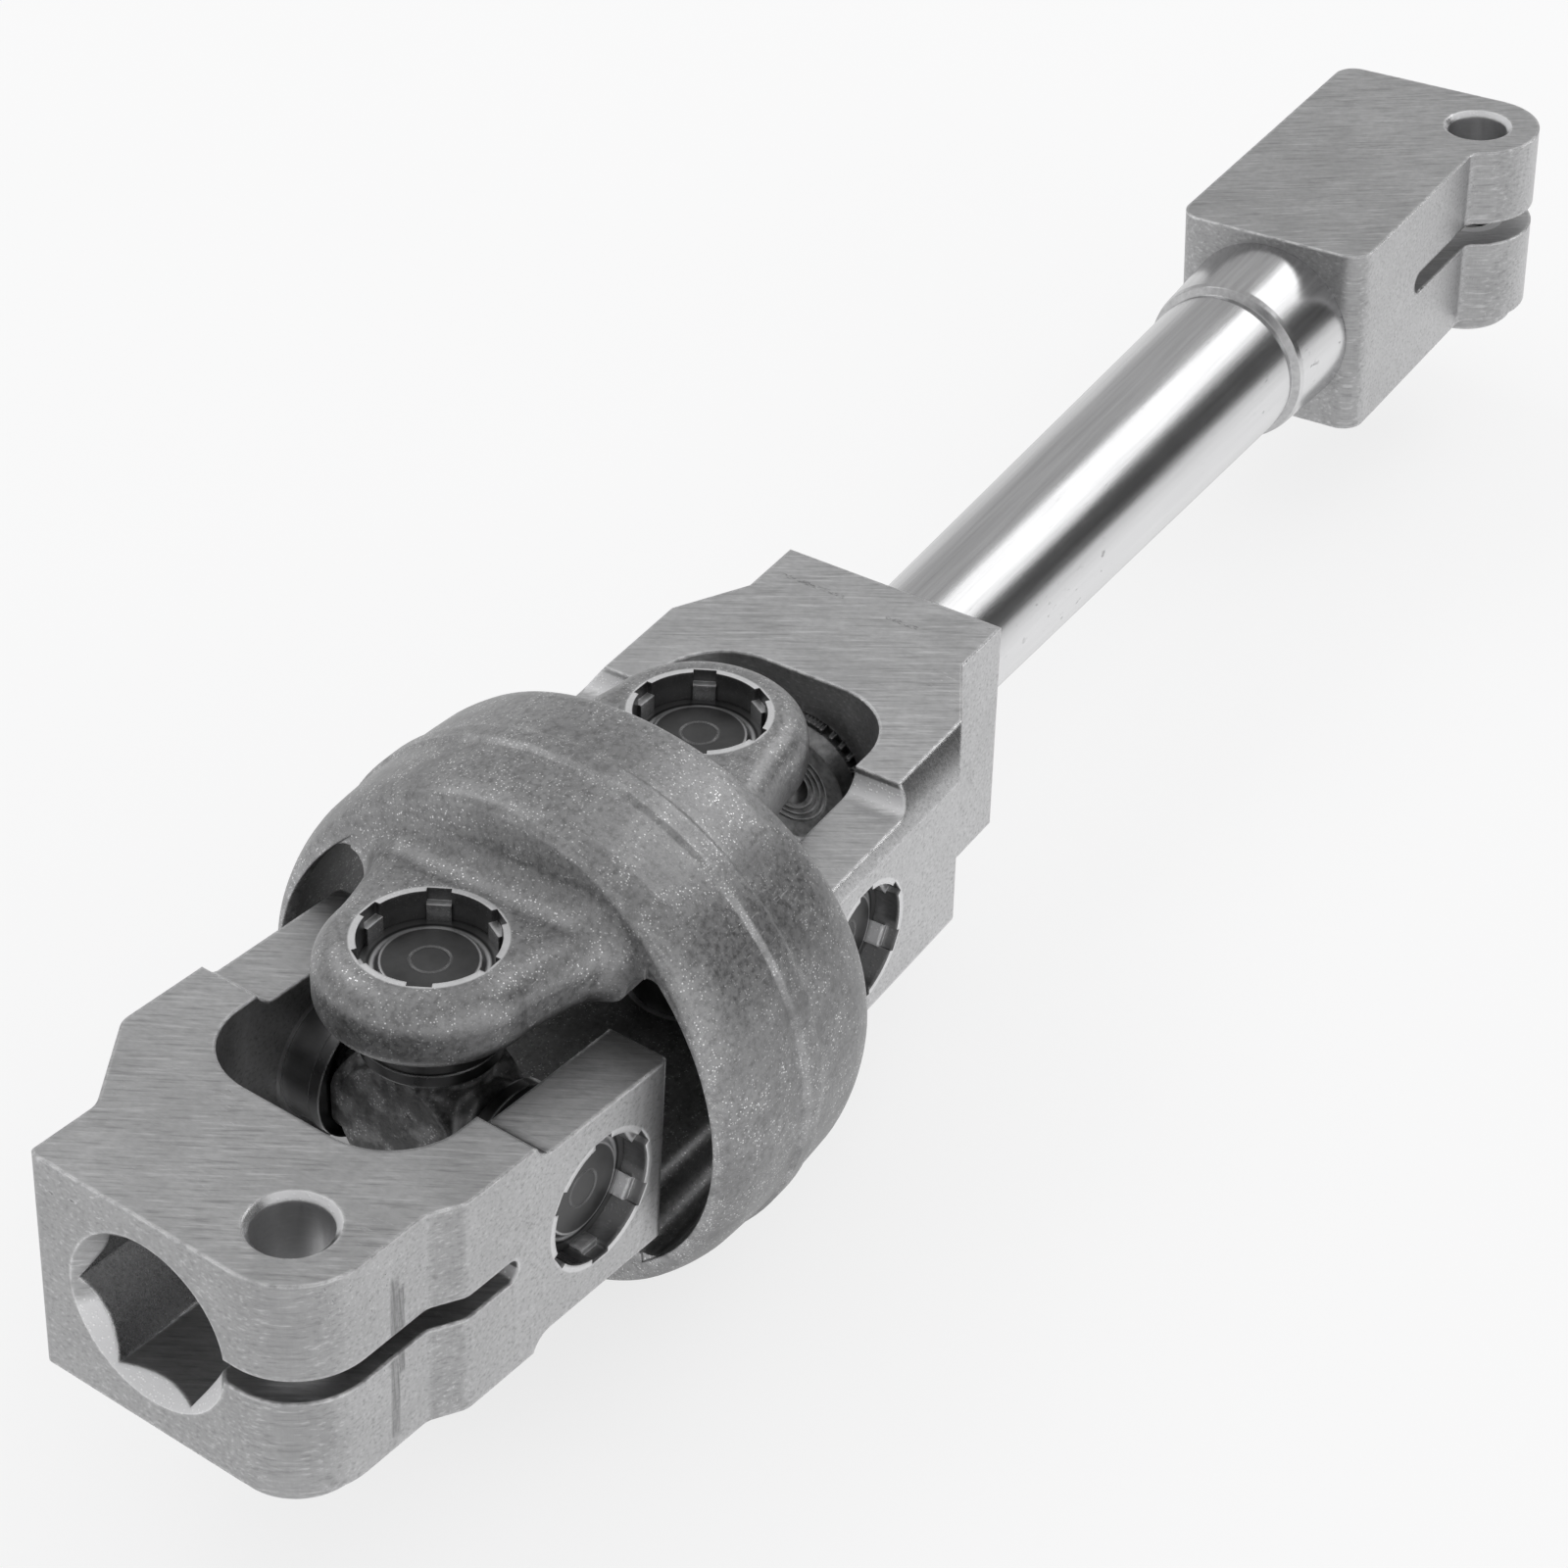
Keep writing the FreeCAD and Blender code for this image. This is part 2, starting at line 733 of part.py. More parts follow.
def make_upper_clamp():
    w = block_half_width
    h = block_half_height
    bolt_x = block_far - lobe_radius
    bolt_y = -upper_bolt_side
    body = prism([
        (block_near, w), (block_far, w), (block_far, bolt_y),
        (bolt_x, bolt_y), (bolt_x, -w), (block_near, -w),
    ], -h, h)
    body = round_upright(body, [
        (block_near, w, block_corner_radius),
        (block_far, w, block_corner_radius),
        (block_near, -w, block_corner_radius),
    ])
    body = body.fuse(rod(lobe_radius, -h, h, Z_AXIS, V(bolt_x, bolt_y, 0))).removeSplitter()
    drop = w + bolt_y
    meet_x = bolt_x - math.sqrt(lobe_radius * lobe_radius - drop * drop)
    body = round_upright(body, [(meet_x, -w, block_valley_radius)])
    body = body.cut(rod(spigot_radius, block_near - 1, block_near + spigot_length, X_AXIS))
    body = body.cut(rod(block_bore_radius, block_far - block_bore_depth, block_far + 1, X_AXIS))
    body = add_pinch_bolt(body, bolt_x, bolt_y, h, block_slit_centre)
    body = cut_slit(body, block_far, block_slit_end, block_slit_centre, block_slit_half_height)
    return body.removeSplitter()


def save_bearings(prefix, frame, sides):
    for side, rotation in sides:
        save(turned(make_cup(), rotation), prefix + "_cup_" + side, frame)
        save(turned(make_needles(), rotation), prefix + "_needles_" + side, frame)
        save(turned(make_seal(), rotation), prefix + "_seal_" + side, frame)
        save(turned(make_shell(), rotation), prefix + "_shell_" + side, frame)


save(make_lower_yoke(), "lower_yoke", lower_frame)
save(make_cross(), "lower_cross", lower_cross_frame)
save(make_centre_yoke(), "centre_yoke", centre_frame)
save(make_cross(), "upper_cross", upper_cross_frame)
save(make_upper_yoke(), "upper_yoke", upper_frame)
save(make_shaft(), "shaft", upper_frame)
save(make_upper_clamp(), "upper_clamp", block_frame)
save_bearings("lower", lower_frame, (("left", BEARING_LEFT), ("right", BEARING_RIGHT)))
save_bearings("near", lower_joint_frame, (("top", BEARING_UP), ("bottom", BEARING_DOWN)))
save_bearings("far", centre_frame, (("top", BEARING_UP), ("bottom", BEARING_DOWN)))
save_bearings("upper", upper_frame, (("left", BEARING_LEFT), ("right", BEARING_RIGHT)))
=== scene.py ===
import json
import math
import bpy
from mathutils import Matrix, Vector


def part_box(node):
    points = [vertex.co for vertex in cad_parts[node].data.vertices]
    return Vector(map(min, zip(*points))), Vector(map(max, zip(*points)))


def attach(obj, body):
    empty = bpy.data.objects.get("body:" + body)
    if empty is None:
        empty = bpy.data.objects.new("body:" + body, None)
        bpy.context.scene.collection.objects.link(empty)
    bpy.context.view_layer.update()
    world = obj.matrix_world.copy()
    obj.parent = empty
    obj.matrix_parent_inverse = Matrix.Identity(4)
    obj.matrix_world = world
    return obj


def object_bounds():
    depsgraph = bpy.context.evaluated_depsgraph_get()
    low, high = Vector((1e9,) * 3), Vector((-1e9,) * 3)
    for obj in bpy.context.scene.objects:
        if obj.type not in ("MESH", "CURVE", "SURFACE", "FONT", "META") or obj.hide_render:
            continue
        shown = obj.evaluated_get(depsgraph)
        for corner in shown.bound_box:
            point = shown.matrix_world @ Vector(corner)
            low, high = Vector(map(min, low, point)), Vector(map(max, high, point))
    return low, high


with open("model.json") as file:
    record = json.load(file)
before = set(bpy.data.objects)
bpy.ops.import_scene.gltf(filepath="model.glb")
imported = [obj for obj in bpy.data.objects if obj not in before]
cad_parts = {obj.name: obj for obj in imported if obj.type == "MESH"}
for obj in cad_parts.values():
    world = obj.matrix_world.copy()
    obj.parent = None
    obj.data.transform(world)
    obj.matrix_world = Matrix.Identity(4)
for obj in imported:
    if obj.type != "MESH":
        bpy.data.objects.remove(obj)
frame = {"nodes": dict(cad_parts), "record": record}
cad_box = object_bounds()
nodes = frame["nodes"]
scene = bpy.context.scene
MM = 0.001


# Node helpers

class Tree:
    """Short names for building one material's or world's nodes."""

    def __init__(self, tree):
        self.tree = tree
        tree.nodes.clear()

    def add(self, kind, **values):
        """One node. in_ arguments go to its sockets, the others to its own fields."""
        node = self.tree.nodes.new(kind)
        for key, value in values.items():
            if key.startswith("in_"):
                self.feed(node.inputs[key[3:].replace("_", " ")], value)
            else:
                setattr(node, key, value)
        return node

    def feed(self, socket, value):
        """Link another node's socket, or set a plain value."""
        if isinstance(value, bpy.types.NodeSocket):
            self.tree.links.new(value, socket)
        else:
            socket.default_value = value

    def math(self, operation, a, b=0.0):
        node = self.tree.nodes.new("ShaderNodeMath")
        node.operation = operation
        self.feed(node.inputs[0], a)
        self.feed(node.inputs[1], b)
        return node.outputs[0]

    def remap(self, value, low, high, to_low=0.0, to_high=1.0):
        """low to high becomes to_low to to_high, held at both ends."""
        node = self.tree.nodes.new("ShaderNodeMapRange")
        self.feed(node.inputs["Value"], value)
        self.feed(node.inputs["From Min"], low)
        self.feed(node.inputs["From Max"], high)
        self.feed(node.inputs["To Min"], to_low)
        self.feed(node.inputs["To Max"], to_high)
        return node.outputs["Result"]

    def mix_colour(self, factor, a, b):
        """a where the factor is 0, b where it is 1."""
        node = self.tree.nodes.new("ShaderNodeMix")
        node.data_type = "RGBA"
        self.feed(node.inputs["Factor"], factor)
        self.feed(node.inputs[6], a)
        self.feed(node.inputs[7], b)
        return node.outputs[2]

    def place(self, scale, turn=(0.0, 0.0, 0.0), shift=(0.0, 0.0, 0.0)):
        """The point on the object, scaled, then turned, then shifted."""
        where = self.tree.nodes.new("ShaderNodeTexCoord")
        node = self.add("ShaderNodeMapping")
        self.tree.links.new(where.outputs["Object"], node.inputs["Vector"])
        node.inputs["Scale"].default_value = scale
        node.inputs["Rotation"].default_value = turn
        node.inputs["Location"].default_value = shift
        return node.outputs["Vector"]

    def noise(self, vector, scale, detail, rough):
        node = self.add("ShaderNodeTexNoise", in_Vector=vector, in_Scale=scale, in_Detail=detail)
        node.inputs["Roughness"].default_value = rough
        return node.outputs["Fac"]

    def mix_value(self, factor, a, b):
        """a where the factor is 0, b where it is 1."""
        return self.remap(factor, 0.0, 1.0, a, b)

    def vector_math(self, operation, a, b=None):
        node = self.add("ShaderNodeVectorMath", operation=operation)
        self.feed(node.inputs[0], a)
        if b is not None:
            self.feed(node.inputs[1], b)
        return node

    def position(self):
        """The point on the object in metres: its X, Y and Z."""
        where = self.add("ShaderNodeTexCoord")
        split = self.add("ShaderNodeSeparateXYZ")
        self.tree.links.new(where.outputs["Object"], split.inputs["Vector"])
        return split.outputs["X"], split.outputs["Y"], split.outputs["Z"]

    def facing(self):
        """The object's own normal: its parts along X, Y and Z."""
        where = self.add("ShaderNodeTexCoord")
        split = self.add("ShaderNodeSeparateXYZ")
        self.tree.links.new(where.outputs["Normal"], split.inputs["Vector"])
        return split.outputs["X"], split.outputs["Y"], split.outputs["Z"]

    def from_axis(self, axis):
        """Distance in metres from the line through a point in a direction."""
        point, direction = axis
        where = self.add("ShaderNodeTexCoord")
        away = self.vector_math("SUBTRACT", where.outputs["Object"], tuple(point))
        across = self.vector_math("CROSS_PRODUCT", away.outputs["Vector"], tuple(direction))
        return self.vector_math("LENGTH", across.outputs["Vector"]).outputs["Value"]

    def along(self, direction):
        """How far the object's own normal lies along a line, either way: 0 to 1."""
        where = self.add("ShaderNodeTexCoord")
        dot = self.vector_math("DOT_PRODUCT", where.outputs["Normal"], tuple(direction))
        return self.math("ABSOLUTE", dot.outputs["Value"])

    def stroke(self, mark):
        """1 along a short straight stroke through a point, 0 elsewhere."""
        point, direction, half_width, half_length = mark
        where = self.add("ShaderNodeTexCoord")
        away = self.vector_math("DISTANCE", where.outputs["Object"], tuple(point)).outputs["Value"]
        beside = self.from_axis((point, direction))
        inside = self.remap(beside, half_width, half_width * 0.6)
        return self.math("MULTIPLY", inside, self.remap(away, half_length, half_length * 0.9))

    def band(self, value, low, high, soft):
        """1 between low and high, 0 outside, with soft ends."""
        rise = self.remap(value, low - soft, low + soft)
        fall = self.remap(value, high - soft, high + soft, 1.0, 0.0)
        return self.math("MULTIPLY", rise, fall)

    def edges(self, radius):
        """A rounded normal, and a mask that rises from 0 on flat metal to 1 at sharp edges."""
        bevel = self.add("ShaderNodeBevel", samples=3, in_Radius=radius)
        flat = self.add("ShaderNodeNewGeometry")
        dot = self.vector_math("DOT_PRODUCT", bevel.outputs["Normal"], flat.outputs["True Normal"])
        return bevel.outputs["Normal"], self.remap(dot.outputs["Value"], 0.99, 0.88)

    def cells(self, scale, share):
        """Round grains: 1 in the middle of a random share of small cells, 0 elsewhere."""
        node = self.add("ShaderNodeTexVoronoi", in_Vector=self.place((1, 1, 1)), in_Scale=scale)
        split = self.add("ShaderNodeSeparateColor")
        self.tree.links.new(node.outputs["Color"], split.inputs["Color"])
        chosen = self.math("LESS_THAN", split.outputs[0], share)
        return self.math("MULTIPLY", chosen, self.remap(node.outputs["Distance"], 0.45, 0.20))

    def bump(self, height, distance, strength, normal=None):
        """A normal that follows a height, on top of another normal where one is given."""
        node = self.add("ShaderNodeBump", in_Strength=strength, in_Distance=distance)
        self.feed(node.inputs["Height"], height)
        if normal is not None:
            self.feed(node.inputs["Normal"], normal)
        return node.outputs["Normal"]

    def finish(self, **values):
        """A principled shader with these sockets, and the material's output."""
        shader = self.tree.nodes.new("ShaderNodeBsdfPrincipled")
        for key, value in values.items():
            self.feed(shader.inputs[key.replace("_", " ")], value)
        out = self.tree.nodes.new("ShaderNodeOutputMaterial")
        self.tree.links.new(shader.outputs["BSDF"], out.inputs["Surface"])


def new_material(name):
    """A new material and the Tree that fills it."""
    material = bpy.data.materials.new(name)
    material.use_nodes = True
    return material, Tree(material.node_tree)


def grey(value):
    """A grey with a trace of blue."""
    return (value, value, value * 1.01, 1.0)


# Axes that the finishes follow

def box_middle(name):
    low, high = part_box(name)
    return (Vector(low) + Vector(high)) / 2


def bearing_axis(prefix, first, second):
    """The line through a pair of cups: a point and a direction."""
    a = box_middle(prefix + "_cup_" + first)
    b = box_middle(prefix + "_cup_" + second)
    return a, (b - a).normalized()


mounts = {mount["name"]: mount for mount in frame["record"]["mounts"]}


def mount_axis(name):
    """A mount's axis: a point and a direction."""
    mount = mounts[name]
    return Vector(mount["pos_m"]), Vector(mount["axis"]).normalized()


def bolt_hole(name):
    """A bolt hole's axis and radius, from its mount."""
    return mount_axis(name), mounts[name]["dims"]["r_mm"] * MM


lower_bearing = bearing_axis("lower", "left", "right")
upper_bearing = bearing_axis("upper", "left", "right")
near_bearing = bearing_axis("near", "top", "bottom")
far_bearing = bearing_axis("far", "top", "bottom")
CUP = 7.5 * MM
RIM_INSIDE = 0.9 * MM
RIM_OUTSIDE = 0.75 * MM
WALL_OUTSIDE = 1.2 * MM


# Materials

BRUSH_TURN = 1.014
CHAMFER = 0.62 * MM
CUP_RIM_HIGHLIGHT = (5.1 * MM, 6.2 * MM)
CUP_SHOULDER = (6.6 * MM, 7.4 * MM)
EAR_SHADE_ABOVE = (20.0 * MM, 16.0 * MM)
EAR_SHADE_BESIDE = (17.0 * MM, 15.0 * MM)
SHADE_REACH = 6.0 * MM


def bearing_rims(t, axes):
    """Two masks: the pushed-over metal at the bearing bores' rims, and the bores' walls, which
    take painted shade.
    """
    bright = 0.0
    dark = 0.0
    for axis in axes:
        away = t.from_axis(axis)
        along = t.along(axis[1])
        rim = t.band(away, CUP - RIM_INSIDE, CUP + RIM_OUTSIDE, 0.1 * MM)
        wall = t.band(away, CUP - 0.2 * MM, CUP + WALL_OUTSIDE, 0.05 * MM)
        rim = t.math("MULTIPLY", rim, t.remap(along, 0.35, 0.70))
        wall = t.math("MULTIPLY", wall, t.remap(along, 0.15, 0.40, 1.0, 0.0))
        bright = t.math("MAXIMUM", rim, bright)
        dark = t.math("MAXIMUM", wall, dark)
    return bright, dark


def hairlines(t, colour, base, shift):
    """Fine brushed lines, some darker and some brighter than the metal."""
    turned = t.place((1, 1, 1), (0.0, 0.0, BRUSH_TURN), shift)
    drawn = t.add("ShaderNodeMapping", in_Vector=turned, in_Scale=(170.0, 2600.0, 2600.0))
    hair = t.noise(drawn.outputs["Vector"], 1.0, 3.0, 0.6)
    colour = t.mix_colour(t.remap(hair, 0.54, 0.68, 0.0, 0.55), colour, grey(base * 0.55))
    return t.mix_colour(t.remap(hair, 0.44, 0.32, 0.0, 0.45), colour, grey(base * 1.55))


def nicks(t, colour, base, shift):
    """Small dark nicks with a bright lip, in patches. Gives the colour and the nicks' mask."""
    patch = t.remap(t.noise(t.place((1, 1, 1), shift=shift), 75.0, 2.0, 0.5), 0.56, 0.66)
    dent = t.noise(t.place((2400.0, 300.0, 900.0), shift=shift), 1.6, 2.0, 0.5)
    nick = t.math("MULTIPLY", t.remap(dent, 0.69, 0.74), patch)
    lip = t.math("MULTIPLY", t.band(dent, 0.655, 0.685, 0.01), patch)
    colour = t.mix_colour(t.math("MULTIPLY", lip, 0.5), colour, grey(base * 1.9))
    return t.mix_colour(t.math("MULTIPLY", nick, 0.75), colour, grey(base * 0.30)), nick


def machined_metal(name, base, seed, bores, holes=(), stains=(), scrapes=()):
    """Milled aluminium: grain, clouds, brushed lines and nicks, with burrs and a painted highlight
    on its edges, and painted light and shade on some faces, slopes and rims.
    """
    material, t = new_material(name)
    normal, edge = t.edges(0.6 * MM)
    x, y, z = t.facing()
    level = t.remap(t.math("ABSOLUTE", z), 0.55, 0.75)
    painted_light_right = t.remap(y, -0.85, -0.98)
    shift = (seed, seed * 2.0, seed * 3.0)
    across = t.noise(t.place((900.0, 24.0, 900.0), shift=shift), 6.0, 3.0, 0.65)
    upright = t.noise(t.place((900.0, 900.0, 24.0), shift=shift), 6.0, 3.0, 0.65)
    grain = t.mix_value(level, upright, across)
    fine = t.noise(t.place((1, 1, 1)), 8000.0, 2.0, 0.6)
    cloud = t.noise(t.place((1, 1, 1), shift=shift), 130.0, 5.0, 0.62)
    cloud_fine = t.noise(t.place((1, 1, 1), shift=shift), 1100.0, 3.0, 0.6)
    wide = t.noise(t.place((1, 1, 1), shift=shift), 28.0, 2.0, 0.5)
    colour = t.mix_colour(t.remap(wide, 0.3, 0.7), grey(base * 0.92), grey(base * 1.08))
    colour = t.mix_colour(t.remap(cloud, 0.36, 0.68, 0.0, 0.55), colour, grey(base * 1.30))
    colour = t.mix_colour(t.remap(cloud_fine, 0.34, 0.60, 0.22, 0.0), colour, grey(base * 0.60))
    colour = t.mix_colour(t.remap(grain, 0.30, 0.60, 0.22, 0.0), colour, grey(base * 0.62))
    # Painted light: faces turned to the right are painted lighter.
    colour = t.mix_colour(t.math("MULTIPLY", painted_light_right, 0.30), colour, grey(base * 1.45))
    # Painted shade: faces turned towards the lower end are painted darker.
    painted_shade_front = t.remap(x, -0.30, -0.70, 0.0, 0.25)
    colour = t.mix_colour(painted_shade_front, colour, grey(base * 0.50))
    colour = hairlines(t, colour, base, shift)
    colour, nick = nicks(t, colour, base, shift)
    for mark in stains:
        streak = t.math("MULTIPLY", t.stroke(mark), t.remap(upright, 0.35, 0.60, 0.75, 0.35))
        colour = t.mix_colour(streak, colour, grey(base * 0.35))
    for mark in scrapes:
        rubbed = t.noise(t.place((1.0, 0.35, 1.0), shift=shift), 5200.0, 4.0, 0.7)
        scrape = t.math("MULTIPLY", t.stroke(mark), t.remap(rubbed, 0.46, 0.60))
        colour = t.mix_colour(t.math("MULTIPLY", scrape, 0.65), colour, grey(base * 0.25))
    # Painted highlight: slopes that face up and towards the lower end are painted brighter, with
    # grains painted as white glints.
    painted_light_slope = t.math("MULTIPLY", t.band(z, 0.25, 0.92, 0.04), t.remap(x, -0.20, -0.32))
    painted_slope_glints = t.math("MULTIPLY", painted_light_slope, t.cells(3000.0, 0.40))
    colour = t.mix_colour(t.math("MULTIPLY", painted_light_slope, 0.90), colour, grey(0.88))
    colour = t.mix_colour(painted_slope_glints, colour, grey(1.0))
    # Burrs with a painted highlight: broken edges are painted white.
    broken = t.noise(t.place((1, 1, 1), shift=shift), 900.0, 3.0, 0.6)
    broken = t.remap(broken, 0.36, 0.56, 0.25, 1.0)
    burr_and_highlight = t.math("MULTIPLY", edge, broken)
    colour = t.mix_colour(burr_and_highlight, colour, grey(1.0))
    # Painted highlight on the bolt holes' chamfered rims.
    for axis, radius in holes:
        rim = t.band(t.from_axis(axis), radius - 0.4 * MM, radius + CHAMFER, 0.05 * MM)
        colour = t.mix_colour(t.math("MULTIPLY", rim, 0.6), colour, grey(0.80))
    bright, dark = bearing_rims(t, bores)
    # Painted shade on the bearing bores' walls; their pushed-over rims are brighter.
    colour = t.mix_colour(t.math("MULTIPLY", dark, 0.7), colour, grey(0.10))
    colour = t.mix_colour(t.math("MULTIPLY", bright, 0.6), colour, grey(0.85))
    curved = t.band(t.math("ABSOLUTE", z), 0.05, 0.93, 0.02)
    curved = t.math("MULTIPLY", curved, t.remap(x, -0.25, -0.10))
    rough = t.remap(grain, 0.2, 0.8, 0.36, 0.48)
    rough = t.math("SUBTRACT", rough, t.math("MULTIPLY", curved, 0.16))
    rough = t.math("ADD", rough, t.math("MULTIPLY", painted_light_slope, 0.25))
    rough = t.math("SUBTRACT", rough, t.math("MULTIPLY", burr_and_highlight, 0.12))
    fine = t.math("MULTIPLY", fine, t.remap(curved, 0.0, 1.0, 0.5, 0.0))
    height = t.math("ADD", t.math("MULTIPLY", grain, 0.8), fine)
    height = t.math("SUBTRACT", height, nick)
    height = t.math("MULTIPLY", height, t.remap(curved, 0.0, 1.0, 1.0, 0.2))
    height = t.math("ADD", height, t.math("MULTIPLY", painted_slope_glints, 5.0))
    normal = t.bump(height, 0.02 * MM, 0.4, normal)
    t.finish(Base_Color=colour, Metallic=1.0, Roughness=rough, Normal=normal)
    return material


def forged_metal(name, base, bores):
    """Tumbled forging: mottled skin, bright grains painted as glints on its worn, highlighted
    edges, painted shade in its valleys.
    """
    material, t = new_material(name)
    normal = t.add("ShaderNodeBevel", samples=2, in_Radius=0.35 * MM).outputs["Normal"]
    edge = t.edges(1.8 * MM)[1]
    upward = t.facing()[2]
    # Painted shade on faces that look downward.
    under = t.remap(upward, -0.10, -0.60, 0.0, 0.5)
    # Painted shade: the ears' upright walls are painted darker below their tops, towards the
    # middle of the ring.
    beside, above = t.position()[1:]
    inward = t.remap(t.math("ABSOLUTE", above), *EAR_SHADE_ABOVE, 0.0, 0.75)
    beside = t.remap(t.math("ABSOLUTE", beside), *EAR_SHADE_BESIDE)
    upright = t.remap(t.math("ABSOLUTE", upward), 0.80, 0.45)
    ear_wall_shade = t.math("MULTIPLY", inward, t.math("MULTIPLY", beside, upright))
    skin = t.noise(t.place((1, 1, 1)), 1500.0, 5.0, 0.65)
    coarse = t.noise(t.place((1, 1, 1)), 260.0, 5.0, 0.62)
    wide = t.noise(t.place((1, 1, 1)), 50.0, 3.0, 0.55)
    worn = t.math("MULTIPLY", edge, t.remap(coarse, 0.36, 0.58))
    scratch = t.noise(t.place((260.0, 2600.0, 2600.0), (0.3, 0.2, 0.9)), 2.0, 2.0, 0.5)
    scratch = t.remap(scratch, 0.69, 0.75)
    colour = t.mix_colour(t.remap(wide, 0.3, 0.7), grey(base * 0.80), grey(base * 1.10))
    colour = t.mix_colour(t.remap(coarse, 0.34, 0.66, 0.0, 0.6), colour, grey(base * 1.30))
    colour = t.mix_colour(t.remap(skin, 0.32, 0.56, 0.75, 0.0), colour, grey(base * 0.50))
    # Wear with a painted highlight: worn edges are painted brighter.
    colour = t.mix_colour(t.remap(worn, 0.0, 1.0, 0.0, 0.55), colour, grey(base * 2.1))
    # Painted glints: grains painted near white, most of them on the worn edges.
    grains = t.math("MULTIPLY", t.cells(4000.0, 0.24), t.remap(coarse, 0.42, 0.60, 0.10, 0.90))
    grains = t.math("MAXIMUM", grains, t.math("MULTIPLY", t.cells(3600.0, 0.5), worn))
    colour = t.mix_colour(grains, colour, grey(min(1.0, base * 3.1)))
    colour = t.mix_colour(t.math("MULTIPLY", scratch, 0.4), colour, grey(base * 2.2))
    # Painted shade in hollows found by occlusion, joined with the painted shade under the ring and
    # on its ears' walls.
    shade = t.add("ShaderNodeAmbientOcclusion", samples=3)
    shade.inputs["Distance"].default_value = SHADE_REACH
    painted_shade = t.remap(shade.outputs["AO"], 0.80, 0.35, 0.0, 0.8)
    painted_shade = t.math("MAXIMUM", painted_shade, t.math("MAXIMUM", under, ear_wall_shade))
    colour = t.mix_colour(painted_shade, colour, grey(base * 0.30))
    bright, dark = bearing_rims(t, bores)
    # Painted shade on the bearing bores' walls; their pushed-over rims are brighter.
    colour = t.mix_colour(t.math("MULTIPLY", dark, 0.8), colour, grey(0.07))
    colour = t.mix_colour(t.math("MULTIPLY", bright, 0.7), colour, grey(0.90))
    rough = t.remap(skin, 0.25, 0.75, 0.36, 0.56)
    rough = t.math("SUBTRACT", rough, t.math("MULTIPLY", grains, 0.12))
    height = t.math("ADD", t.math("MULTIPLY", skin, 0.6), t.math("MULTIPLY", coarse, 0.9))
    height = t.math("SUBTRACT", height, t.math("MULTIPLY", scratch, 0.3))
    normal = t.bump(height, 0.1 * MM, 0.55, normal)
    t.finish(Base_Color=colour, Metallic=1.0, Roughness=rough, Normal=normal)
    return material


STUB_LENGTH = 8.0 * MM
STUB_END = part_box("shaft")[0][0] + STUB_LENGTH


def polished_metal(name, base):
    """Polished shaft: long soft streaks, a right side painted lighter with pits on it, darker and
    rougher at its knurl.
    """
    material, t = new_material(name)
    normal, edge = t.edges(0.3 * MM)
    streak = t.noise(t.place((8.0, 260.0, 260.0)), 5.0, 3.0, 0.5)
    cloud = t.noise(t.place((1, 1, 1)), 70.0, 3.0, 0.5)
    fine = t.noise(t.place((200.0, 4000.0, 4000.0)), 2.0, 2.0, 0.5)
    scratch = t.noise(t.place((90.0, 1800.0, 1800.0), (0.0, 0.0, 0.12)), 3.0, 2.0, 0.5)
    scratch = t.remap(scratch, 0.70, 0.76)
    colour = t.mix_colour(t.remap(streak, 0.3, 0.7), grey(base * 0.88), grey(base * 1.08))
    colour = t.mix_colour(t.math("MULTIPLY", scratch, 0.4), colour, grey(base * 0.6))
    # Painted light: faces turned to the right are painted lighter.
    side = t.remap(t.facing()[1], -0.86, -0.99, 0.0, 0.7)
    colour = t.mix_colour(side, colour, grey(0.88))
    pits = t.remap(t.noise(t.place((0.6, 1.0, 1.0)), 900.0, 3.0, 0.6), 0.64, 0.70)
    patch = t.remap(t.noise(t.place((1, 1, 1)), 90.0, 2.0, 0.5), 0.50, 0.58)
    pits = t.math("MULTIPLY", t.math("MULTIPLY", pits, patch), t.remap(side, 0.0, 0.3))
    colour = t.mix_colour(t.math("MULTIPLY", pits, 0.7), colour, grey(0.30))
    # The knurled stub is darker and rougher.
    stub = t.remap(t.position()[0], STUB_END, STUB_END - 1.0 * MM)
    turned = t.noise(t.place((1, 1, 1)), 700.0, 4.0, 0.6)
    stub_tone = t.mix_colour(t.remap(turned, 0.35, 0.65), grey(0.16), grey(0.34))
    colour = t.mix_colour(stub, colour, stub_tone)
    colour = t.mix_colour(t.math("MULTIPLY", edge, 0.5), colour, grey(min(1.0, base * 1.5)))
    rough = t.math("ADD", t.remap(cloud, 0.3, 0.7, 0.17, 0.22), t.math("MULTIPLY", streak, 0.06))
    rough = t.math("ADD", rough, t.math("MULTIPLY", stub, 0.18))
    normal = t.bump(t.math("SUBTRACT", fine, scratch), 0.008 * MM, 0.35, normal)
    t.finish(Base_Color=colour, Metallic=1.0, Roughness=rough, Normal=normal)
    return material


